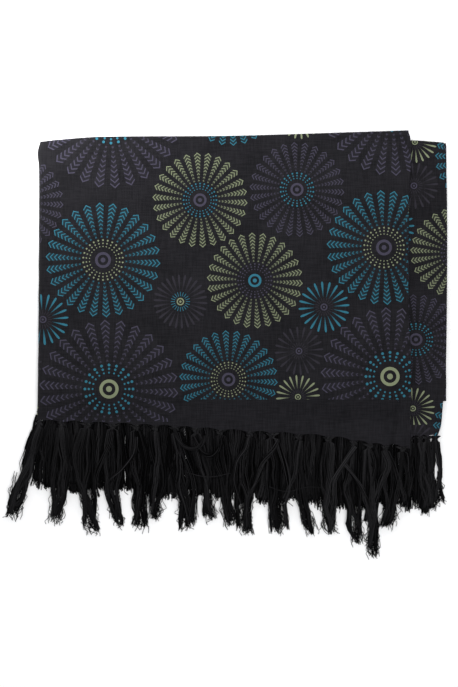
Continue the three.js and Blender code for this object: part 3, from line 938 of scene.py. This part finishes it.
def slope_limit(z):
    """How far down the stack reaches at one level, under the front cloth's slope."""
    share = (FRONT_HEIGHT - z - CLOTH - GAP) / (FRONT_HEIGHT - FRONT_END_HEIGHT)
    if share >= 1:
        return HIDDEN_END
    ease = 0.5 - math.sin(math.asin(1 - 2 * clamp(share)) / 3)
    return min(HIDDEN_END, BAND_START + BAND_LENGTH * ease)


def stack_ring(z):
    lower = z < SLOT_LEVELS[1]
    in_slot = SLOT_LEVELS[0] < z < SLOT_LEVELS[1]
    right = TUCK - GAP if in_slot else LOWER_SELVEDGE if lower else UPPER_SELVEDGE
    outline = LOWER_TOP if lower else FRONT_TOP
    turned = any(low < z < high for low, high in TURNED_LEVELS)
    top_inset = TURNED_INSET if turned else 0.3
    bottom = slope_limit(z)
    rise = FRONT_HEIGHT / 2 - CLOTH - GAP
    lift = max(-1.0, min(1.0, (z - FRONT_HEIGHT / 2) / rise))

    def left_at(down):
        reach = FOLD_CENTRE - read(LEFT_FOLD, down) - CLOTH - 2 * GAP
        return FOLD_CENTRE + 2 * GAP - reach * math.sqrt(1 - lift * lift)

    def right_at(down):
        inset = 0 if in_slot else grooved(z, LAYER, 0, 1.3) + uneven(z, down, LAYER, 0, 1.0)
        return right - inset

    def bottom_at(across):
        return bottom - grooved(z, 2 * LAYER, LAYER, 0.9) - uneven(z, across, 2 * LAYER, LAYER, 1.2)

    def top_at(across):
        inset = grooved(z, 2 * LAYER, 0, 0.9) + uneven(z, across, 2 * LAYER, 0, 0.5)
        return read(outline, across) + top_inset + inset

    low_left, high_left = left_at(bottom) + 1.5, left_at(8) + 3
    ring = [(x, bottom_at(x)) for x in steps(130, low_left, right_at(bottom) - 0.4)[:-1]]
    ring += [(right_at(y), y) for y in steps(120, bottom_at(right) - 0.4, top_at(right) + 0.4)[:-1]]
    ring += [(x, top_at(x)) for x in steps(130, right_at(top_at(right)) - 0.4, high_left)[:-1]]
    ring += [(left_at(y), y) for y in steps(70, top_at(high_left) + 2, bottom - 2)[:-1]]
    return [spot(across, down, z) for across, down in ring]


def folded_layers(finish):
    levels = [STACK[0] + k * LEVEL_STEP for k in range(int((STACK[1] - STACK[0]) / LEVEL_STEP) + 1)]
    rings = [stack_ring(z) for z in levels]
    count = len(rings[0])
    points = [p for ring in rings for p in ring]
    faces = []
    for k in range(len(rings) - 1):
        for i in range(count):
            j = (i + 1) % count
            faces.append((k * count + i, k * count + j, (k + 1) * count + j, (k + 1) * count + i))
    for ring, flip in ((0, True), (len(rings) - 1, False)):
        middle = sum(rings[ring], Vector()) / count
        points.append(middle)
        for i in range(count):
            a, b = ring * count + i, ring * count + (i + 1) % count
            faces.append((len(points) - 1, b, a) if flip else (len(points) - 1, a, b))
    return make_piece("folded_layers", points, faces, finish)


# ---- Fringe guides


def back_reach(across):
    return BACK_REACH + BACK_REACH_SLOPE * across


def bezier(a, middle, b, t):
    return lerp(lerp(a, middle, t), lerp(middle, b, t), t)


def tassel_line(tassel, edge, row):
    """A tassel's middle line, from the cloth's end through its knot to its tip."""
    knot_down = edge + KNOT_DROP
    fan = min(row.fan, tassel.root + 3)
    line = [
        (tassel.root, edge + 0.2, row.end_height - 0.6, fan, 0.25),
        (tassel.root, edge + 2.0, row.end_height - 0.3, fan * 0.6, 0.5),
        (tassel.root, knot_down - 1, row.knot, 2.4, 1.2),
        (tassel.root, knot_down + 1.5, row.knot, 2.4, 1.2),
    ]
    start = knot_down + 3
    middle_across = (tassel.root + tassel.tip) / 2 + 2 * tassel.bow
    middle_down = (start + tassel.reach) / 2
    for t in steps(row.steps):
        across = bezier(tassel.root, middle_across, tassel.tip, t)
        down = bezier(start, middle_down, tassel.reach, t)
        over = lerp(row.knot, row.over, eased(t * 5))
        fall = eased((down - back_reach(across) - 3) / FALL_LENGTH) if row is FRONT_ROW else eased(t)
        open_out = math.sqrt(t) if row in (BACK_ROW, MIDDLE_ROW) else t
        belly = 1 + row.belly * math.sin(math.pi * min(1.0, t * 1.4))
        half_width = lerp(row.root_width, tassel.spread * row.tip, open_out) / 2 * belly
        line.append((across, down, lerp(over, 1.1, fall), half_width, row.thick / 2 * lerp(1, 0.6, t)))
    return line


def loose_line(strand):
    points = [Vector(p) for p in strand.points]
    line = []
    for i, (a, b) in enumerate(zip(points, points[1:])):
        before, after = points[max(i - 1, 0)], points[min(i + 2, len(points) - 1)]
        for t in steps(4)[: 5 if b is points[-1] else 4]:
            p = curved(a, b, (b - before) / 2, (after - a) / 2, t)
            line.append((*p, strand.width / LOCK_SHARE, strand.width * 0.5))
    return line


GUIDE_VALUES = {
    "half_width": "FLOAT", "half_height": "FLOAT", "along": "FLOAT", "knot": "FLOAT",
    "yarns": "INT", "tassel": "INT",
}


def guide_object(name, guides):
    """Guide lines as a mesh of edges, with the sizes that the yarns read."""
    points, edges, sideways, values = [], [], [], []
    for number, (line, yarns, knot_size) in enumerate(guides):
        places = [spot(*p[:3]) for p in line]
        last = len(places) - 1
        edges += [(len(points) + k, len(points) + k + 1) for k in range(last)]
        points += places
        for k, (*_, half_width, half_height) in enumerate(line):
            run = places[min(k + 1, last)] - places[max(k - 1, 0)]
            sideways += Vector((0, 0, 1)).cross(run).normalized()[:]
            knot = knot_size if k == KNOT_POINT else 0.0
            values.append((half_width * MM, half_height * MM, k / last, knot, yarns, number))
    mesh = new_mesh(name, points, [], edges)
    for (label, kind), column in zip(GUIDE_VALUES.items(), zip(*values)):
        set_values(mesh, label, column, kind)
    mesh.attributes.new("sideways", "FLOAT_VECTOR", "POINT").data.foreach_set("vector", sideways)
    return add_object(name, mesh)


def knot_object():
    """An overhand knot pulled tight, of four strands side by side."""
    turns, sides, strands = 30, 4, 4
    points, faces = [], []

    def path(t):
        x = math.sin(t) + 2 * math.sin(2 * t)
        y = math.cos(t) - 2 * math.cos(2 * t)
        return Vector((x * 0.95, y * 0.95, -0.95 * math.sin(3 * t))) * (KNOT_RADIUS - 0.9) / 3 * MM

    for strand in range(strands):
        lean = strand / strands * 2 * math.pi
        first = len(points)
        for k in range(turns):
            t = k / turns * 2 * math.pi
            run = (path(t + 0.01) - path(t - 0.01)).normalized()
            side = run.cross(Vector((0, 0, 1))).normalized()
            up = side.cross(run)

            def round_about(angle, radius):
                return (side * math.cos(angle) + up * math.sin(angle)) * radius * MM

            ply = path(t) + round_about(lean + 2 * t, 0.62)
            points += [ply + round_about(s / sides * 2 * math.pi, 0.55) for s in range(sides)]
            here, ahead = first + k * sides, first + (k + 1) % turns * sides
            for s in range(sides):
                n = (s + 1) % sides
                faces.append((here + s, here + n, ahead + n, ahead + s))
    mesh = new_mesh("knot", points, faces)
    for label in ("shade", "lock_shade", "lit"):
        set_values(mesh, label, [KNOT_SHADE] * len(points))
    return add_object("knot", mesh)


# ---- Fringe trees

GEOMETRY, INTEGER, MATERIAL = "NodeSocketGeometry", "NodeSocketInt", "NodeSocketMaterial"


def named(tree, name, kind="FLOAT"):
    inputs = {"Name": name}
    return put(tree, "GeometryNodeInputNamedAttribute", inputs, "Attribute", data_type=kind)


def chance(seed, low, high, source, more):
    """A number from low to high that stays the same for one source."""
    inputs = {2: low, 3: high, "ID": source, "Seed": seed + more}
    return put(seed.tree, "FunctionNodeRandomValue", inputs, 1, data_type="FLOAT")


def copies(tree, guides, amount):
    """The guide lines as strands, each one so many times, and the number of each copy."""
    curves = put(tree, "GeometryNodeMeshToCurve", {"Mesh": guides}, "Curve")
    inputs = {"Geometry": curves, "Amount": amount}
    strands = put(tree, "GeometryNodeDuplicateElements", inputs, "Geometry", domain="SPLINE")
    return strands, strands.other("Duplicate Index")


def store(strands, values, domain="CURVE"):
    for name, value in values.items():
        inputs = {"Geometry": strands, "Name": name, "Value": value}
        strands = put(strands.tree, "GeometryNodeStoreNamedAttribute", inputs, domain=domain)
    return strands


def wander(walk, scale, amount):
    """A slow sideways drift, with less of it up and down."""
    place = put(walk.tree, "GeometryNodeInputPosition")
    push = texture(place, scale, 1.0, "Color", noise_dimensions="4D")
    fill(push.socket.node.inputs, {"W": walk})
    return (push - (0.5, 0.5, 0.5)) * (2.0, 1.2, 0.35) * amount


def moved(strands, offset, clearance):
    """Moves strands, and keeps them above the surface that they lie on."""
    tree = strands.tree
    strands = put(tree, "GeometryNodeSetPosition", {"Geometry": strands, "Offset": offset})
    x, y, z = separate(put(tree, "GeometryNodeInputPosition"))
    above = combine(x, y, calc("MAXIMUM", z, clearance))
    return put(tree, "GeometryNodeSetPosition", {"Geometry": strands, "Position": above})


def trimmed(strands, ends):
    return put(strands.tree, "GeometryNodeTrimCurve", {"Curve": strands, **ends}, mode="FACTOR")


def tubes(strands, radius):
    tree = strands.tree
    ring = put(tree, "GeometryNodeCurvePrimitiveCircle", {"Resolution": 3, "Radius": 1.0})
    inputs = {"Curve": strands, "Profile Curve": ring, "Scale": radius, "Fill Caps": True}
    made = put(tree, "GeometryNodeCurveToMesh", inputs)
    return put(tree, "GeometryNodeSetShadeSmooth", {"Geometry": made})


def finish_fringe(parts, finish, out):
    tree = finish.tree
    joined = put(tree, "GeometryNodeJoinGeometry")
    for part in parts:
        tree.links.new(part.socket, joined.socket.node.inputs[0])
    real = put(tree, "GeometryNodeRealizeInstances", {"Geometry": joined})
    fill(out, {0: put(tree, "GeometryNodeSetMaterial", {"Geometry": real, "Material": finish})})


def fringe_tree():
    """Locks of yarn along each guide line, through a knot near their root."""
    tree, given, out = group(
        "knotted fringe",
        {"Guides": GEOMETRY, "Knot": "NodeSocketObject", "Finish": MATERIAL,
         **dict.fromkeys(YARN_SIZES, FLOAT), "Seed": INTEGER},
        {"Fringe": GEOMETRY}, "GeometryNodeTree",
    )
    own = partial(named, tree)
    yarns, tassel = own("yarns", "INT"), own("tassel", "INT")
    strands, index = copies(tree, given["Guides"], yarns)
    number = tassel * 500.0 + index
    locks = calc("MAXIMUM", calc("ROUND", yarns / given["Lock Yarns"]), 1.0)
    lock = calc("FLOOR", index * locks / yarns)
    its_lock = tassel * 50.0 + lock
    any_of = partial(chance, given["Seed"])
    strands = store(strands, {
        "lock_share": (lock + 0.5) / locks * 2.0 - 1.0 + any_of(-0.3, 0.3, its_lock, 0),
        "lock_lift": any_of(-1.0, 1.0, its_lock, 1),
        "lock_walk": any_of(0.0, 90.0, its_lock, 2),
        "lock_twist": any_of(-4.0, 4.0, its_lock, 3),
        "yarn_turn": any_of(0.0, 2 * math.pi, number, 4),
        "yarn_out": calc("SQRT", any_of(0.0, 1.0, number, 5)),
        "yarn_walk": any_of(0.0, 90.0, number, 6),
        "yarn_end": any_of(given["Shortest"], 1.0, number, 7) * any_of(0.92, 1.0, its_lock, 8),
        # Both tones are scaled by the row's painted light level, which paints shade on the back row and a
        # highlight on the loose strands.
        "shade": any_of(0.0, 1.0, number, 9) * given["Lightest"],
        "lock_shade": any_of(0.3, 1.0, its_lock, 10) * given["Lightest"],
    })
    strands = trimmed(strands, {3: own("yarn_end")})

    # Locks lie side by side over a tassel's width, and cross; yarns fill a lock's round.
    along, half_width = own("along"), own("half_width")
    yarn_out, lock_lift = own("yarn_out"), own("lock_lift")
    out_by = yarn_out * calc("MINIMUM", given["Lock Radius"], half_width * LOCK_SHARE)
    turn = own("lock_twist") * along + own("yarn_turn")
    # The yarns on top of a lock, and the locks on top of a tassel, catch the light.
    high = lock_lift * 0.35 + calc("SINE", turn) * yarn_out * 0.65
    strands = store(strands, {"lit": ramp(high, -0.15, 0.8)}, "POINT")
    side = calc("COSINE", turn) * out_by + own("lock_share") * 0.85 * half_width
    rise = lock_lift * 0.7 * own("half_height") + calc("SINE", turn) * out_by * given["Lock Rise"]
    offset = own("sideways", "FLOAT_VECTOR") * side + combine(0.0, 0.0, rise)
    freedom = ramp(along, 0.2, 0.6)
    stray = ramp(yarn_out, 0.93, 0.98, 1.0, 3.5)
    offset += wander(own("lock_walk"), 24.0, given["Lock Wander"] * freedom)
    offset += wander(own("yarn_walk"), 70.0, given["Yarn Wander"] * stray * freedom)
    strands = moved(strands, offset, given["Yarn Radius"])
    yarn = tubes(strands, given["Yarn Radius"] * (along * -0.35 + 1.0))

    size = own("knot")
    knots = put(tree, "GeometryNodeInstanceOnPoints", {
        "Points": given["Guides"],
        "Selection": size > 0.0,
        "Instance": put(tree, "GeometryNodeObjectInfo", {"Object": given["Knot"]}, "Geometry",
                        transform_space="ORIGINAL"),
        "Rotation": put(tree, "FunctionNodeRandomValue", {0: (-0.35, -0.35, 0.0), 1: (0.35, 0.35, 6.28)},
                        data_type="FLOAT_VECTOR"),
        "Scale": combine(size, size, size),
    })
    finish_fringe((knots, yarn), given["Finish"], out)
    return tree


def frizz_tree():
    """Fine single yarns that curl out of each tassel's tip."""
    tree, given, out = group(
        "fringe frizz",
        {"Guides": GEOMETRY, "Finish": MATERIAL, "Yarn Radius": FLOAT, "Curl": FLOAT,
         "Points": INTEGER, "Seed": INTEGER},
        {"Frizz": GEOMETRY}, "GeometryNodeTree",
    )
    own = partial(named, tree)
    strands, index = copies(tree, given["Guides"], own("yarns", "INT"))
    number = own("tassel", "INT") * 500.0 + index
    any_of = partial(chance, given["Seed"])
    strands = store(strands, {
        "yarn_share": any_of(-1.0, 1.0, number, 0),
        "yarn_walk": any_of(0.0, 90.0, number, 1),
        "yarn_start": any_of(0.5, 0.78, number, 2),
        "yarn_end": any_of(0.88, 1.0, number, 3),
        "shade": any_of(0.0, 0.6, number, 4),
        "lock_shade": 0.2,
        "lit": 0.5,
    })
    strands = trimmed(strands, {2: own("yarn_start"), 3: own("yarn_end")})
    strands = put(tree, "GeometryNodeResampleCurve", {"Curve": strands, "Count": given["Points"]})
    loose = ramp(put(tree, "GeometryNodeSplineParameter", None, "Factor"), 0.0, 0.6)
    side = own("yarn_share") * own("half_width")
    offset = own("sideways", "FLOAT_VECTOR") * side
    offset += wander(own("yarn_walk"), 95.0, given["Curl"] * loose)
    strands = moved(strands, offset, given["Yarn Radius"])
    finish_fringe([tubes(strands, given["Yarn Radius"])], given["Finish"], out)
    return tree


# ---- Fringe pieces


def fringe(name, guides, tree, settings):
    """Yarns along the guides, as a plain mesh piece."""
    guide = guide_object(name + "_guides", guides)
    modifier = guide.modifiers.new("yarns", "NODES")
    modifier.node_group = tree
    sockets = {item.name: item.identifier for item in tree.interface.items_tree if item.in_out == "INPUT"}
    for label, value in settings.items():
        modifier[sockets[label]] = value
    depsgraph = bpy.context.evaluated_depsgraph_get()
    mesh = bpy.data.meshes.new_from_object(guide.evaluated_get(depsgraph), depsgraph=depsgraph)
    mesh.name = name
    bpy.data.objects.remove(guide)
    return add_object(name, mesh)


def back_tassel(k):
    root = BACK_FIRST + k * BACK_PITCH
    sway = 4 * math.sin(k * 2.1 + 0.7)
    reach = back_reach(root) + 3 * math.sin(k * 1.7)
    return Tassel(root, root + sway, reach, BACK_SPREAD, sway / 2, BACK_COUNT)


def tassel_guides(tassels, outline, row, lower=0.0):
    return [(tassel_line(t, read(outline, t.root) + lower, row), t.yarns, row.knot_size) for t in tassels]


def frizz_guides(guides, amount):
    return [(line, amount, 0.0) for line, _, _ in guides]


def fringe_pieces():
    tree, knot, finish = fringe_tree(), knot_object(), fringe_yarn()
    front = tassel_guides(FRONT_TASSELS, FRONT_END, FRONT_ROW)
    side = tassel_guides(SIDE_TASSELS, SIDE_END, SIDE_ROW)
    loose = [(loose_line(strand), strand.yarns, 0.0) for strand in LOOSE_STRANDS]
    between = [back_tassel(k + 0.5) for k in range(BACK_TASSELS)]
    between = [LOWER_FIRST] + [tassel for tassel in between if tassel.root < MIDDLE_RIGHT]
    middle = tassel_guides(between, UNDER_END, MIDDLE_ROW, -MIDDLE_RISE)
    back = tassel_guides([back_tassel(k) for k in range(BACK_TASSELS)], UNDER_END, BACK_ROW)
    rows = {
        "front_yarns": (front, FRONT_YARNS, 7),
        "loose_yarns": (loose, LOOSE_YARNS, 12),
        "side_yarns": (side, FRONT_YARNS, 21),
        "middle_yarns": (middle, LOWER_YARNS, 33),
        "back_yarns": (back, BACK_YARNS, 40),
    }
    pieces = {}
    for name, (guides, kind, seed) in rows.items():
        sizes = {label: values[kind] for label, values in YARN_SIZES.items()}
        pieces[name] = fringe(name, guides, tree, {"Knot": knot, "Finish": finish, "Seed": seed, **sizes})
    curled = frizz_guides(front + side, FRIZZ) + frizz_guides(back + middle, LOWER_FRIZZ)
    frizz_settings = {"Finish": finish, **FRIZZ_SIZES}
    pieces["fringe_frizz"] = fringe("fringe_frizz", curled, frizz_tree(), frizz_settings)
    bpy.data.objects.remove(knot)
    return pieces


# ---- Assembly

STANDS_FOR = {
    "front_cloth": ("front_panel", "printed_cotton"),
    "side_cloth": ("side_panel", "printed_cotton"),
    "under_cloth": ("under_panel", "printed_cotton"),
    "folded_layers": ("hidden_layers", "cotton_layers"),
    "front_yarns": ("front_fringe", "fringe_yarn"),
    "loose_yarns": ("front_fringe", "fringe_yarn"),
    "side_yarns": ("side_fringe", "fringe_yarn"),
    "middle_yarns": ("back_fringe", "fringe_yarn"),
    "back_yarns": ("back_fringe", "fringe_yarn"),
    "fringe_frizz": ("front_fringe", "fringe_yarn"),
}


def build():
    printing, weave = print_group(), weave_group()
    cotton = printed_cotton(printing, weave)
    front, side, under = front_cloth(cotton), side_cloth(cotton), under_cloth(cotton)
    layers = folded_layers(layered_cotton(printing, weave))
    yarns = fringe_pieces()
    for piece in (front, side, under, layers, *yarns.values()):
        node, slot = STANDS_FOR[piece.name]
        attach(piece, "root")
        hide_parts(node)


def add_floor():
    a, b = -FLOOR_HALF, FLOOR_HALF
    mesh = new_mesh("floor", [(a, a, 0), (b, a, 0), (b, b, 0), (a, b, 0)], [(0, 1, 2, 3)])
    made, _, shader = new_material("pale_floor")
    fill(shader, {"Base Color": FLOOR_COLOUR, "Roughness": 0.9})
    mesh.materials.append(made)
    add_object("floor", mesh)


add_floor()
build()
add_camera()
for softbox in SOFTBOXES:
    add_light(softbox)
add_world()
bpy.context.scene.view_settings.view_transform = "Standard"
bpy.context.view_layer.update()
